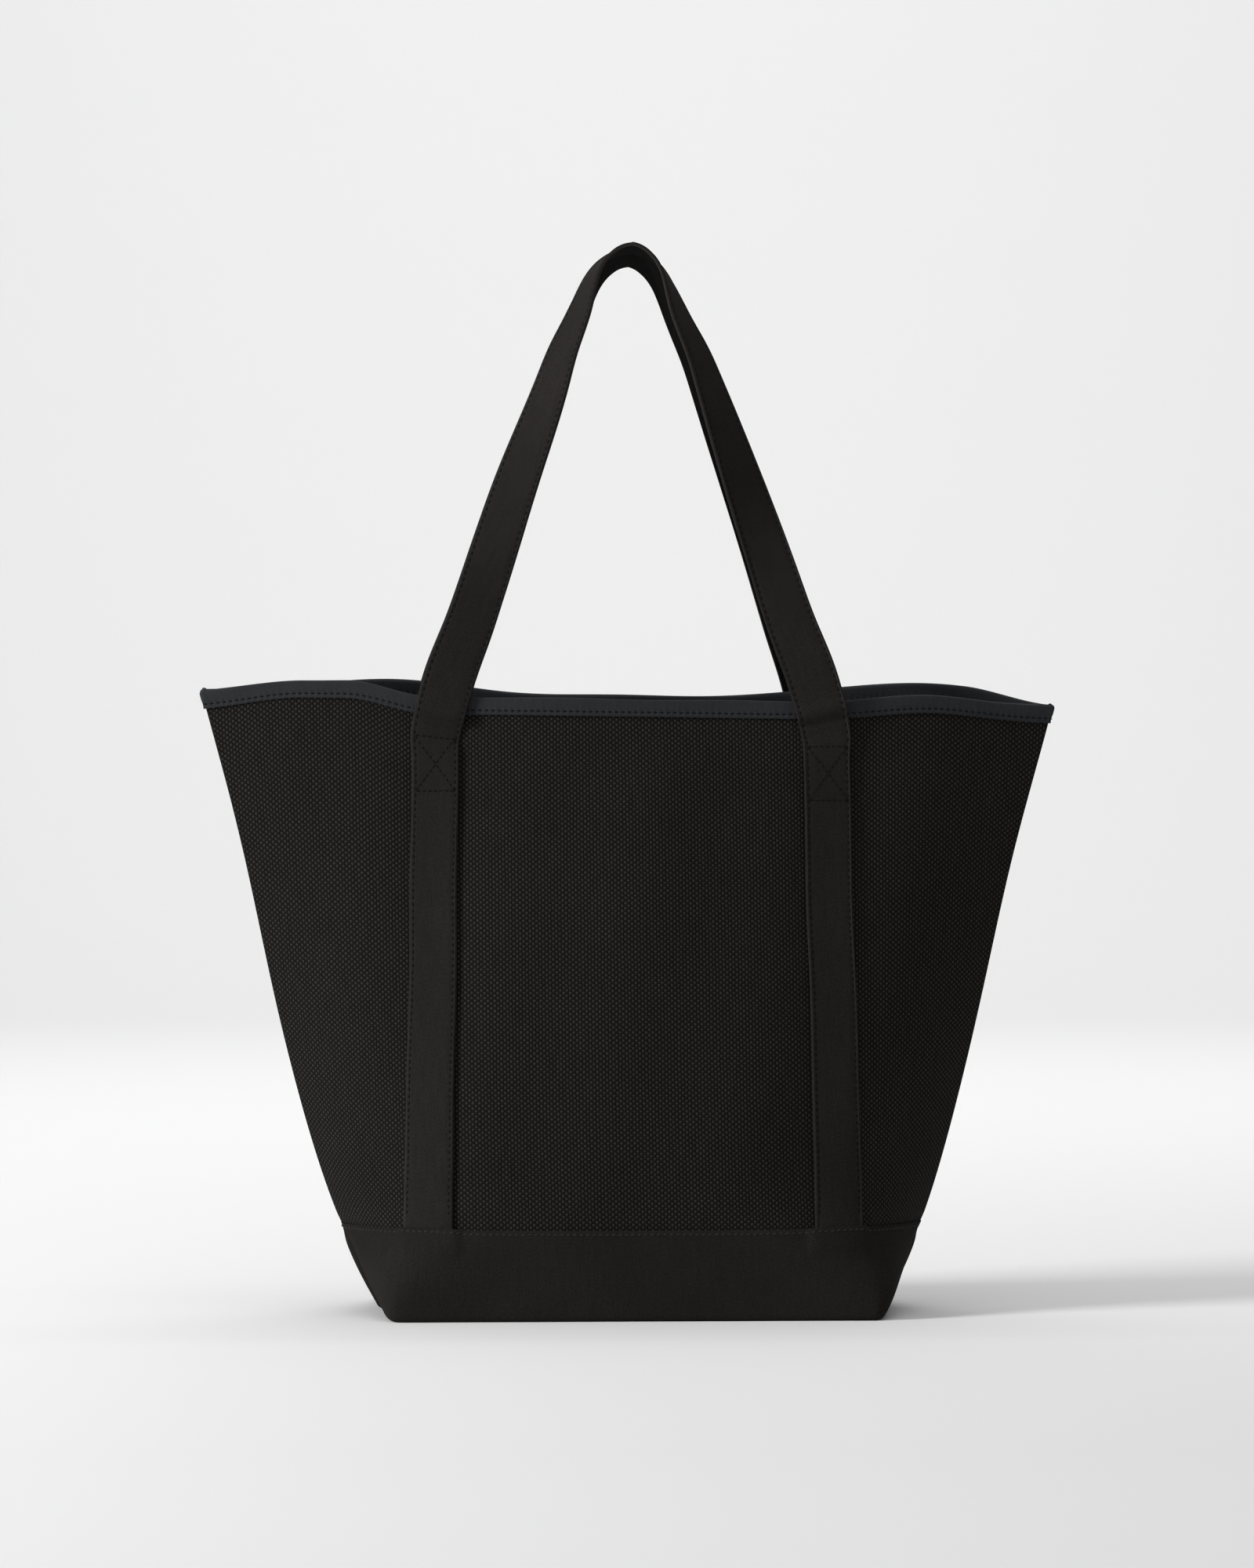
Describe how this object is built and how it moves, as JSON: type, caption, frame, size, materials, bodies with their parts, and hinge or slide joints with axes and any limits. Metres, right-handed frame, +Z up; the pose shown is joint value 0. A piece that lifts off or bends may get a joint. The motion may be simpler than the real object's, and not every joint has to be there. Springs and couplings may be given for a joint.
{
  "type": "canvas tote bag",
  "caption": "Open-topped canvas tote bag with a boxed flat base, a smooth foot band, a bound rim and long strap handles that fold down over each face.",
  "frame": {"origin": "middle of the flat base, on the surface that the bag stands on", "axes": "+Z up, +X along the mouth from side seam to side seam, -Y out of the front face"},
  "size_m": [0.546, 0.1816, 0.6756],
  "materials": {
    "body_canvas": "coarse plain-weave duck canvas, washed black",
    "band_canvas": "finer, smoother canvas, washed black",
    "strap_canvas": "folded fine canvas strap with a stitched edge, washed black",
    "binding_tape": "cool grey-black twill binding tape",
    "sewing_thread": "black sewing thread"
  },
  "bodies": {
    "bag": {"front_panel": "body_canvas", "back_panel": "body_canvas", "base_panel": "body_canvas", "bottom_band": "band_canvas", "front_rim_binding": "binding_tape", "back_rim_binding": "binding_tape", "left_seam_binding": "binding_tape", "right_seam_binding": "binding_tape", "left_corner_binding": "binding_tape", "right_corner_binding": "binding_tape", "front_left_strap": "strap_canvas", "front_right_strap": "strap_canvas", "back_left_strap": "strap_canvas", "back_right_strap": "strap_canvas", "front_left_cross_stitch": "sewing_thread", "front_right_cross_stitch": "sewing_thread", "back_left_cross_stitch": "sewing_thread", "back_right_cross_stitch": "sewing_thread"},
    "front_loop": {"front_handle": "strap_canvas"},
    "back_loop": {"back_handle": "strap_canvas"}
  },
  "joints": [
    {"name": "front_handle_swing", "type": "hinge", "parent": "bag", "child": "front_loop", "pos_m": [0, -0.03644, 0.364], "axis": [1, 0, 0], "range_deg": [0, 160]},
    {"name": "back_handle_swing", "type": "hinge", "parent": "bag", "child": "back_loop", "pos_m": [0, 0.03644, 0.364], "axis": [-1, 0, 0], "range_deg": [0, 160]}
  ]
}
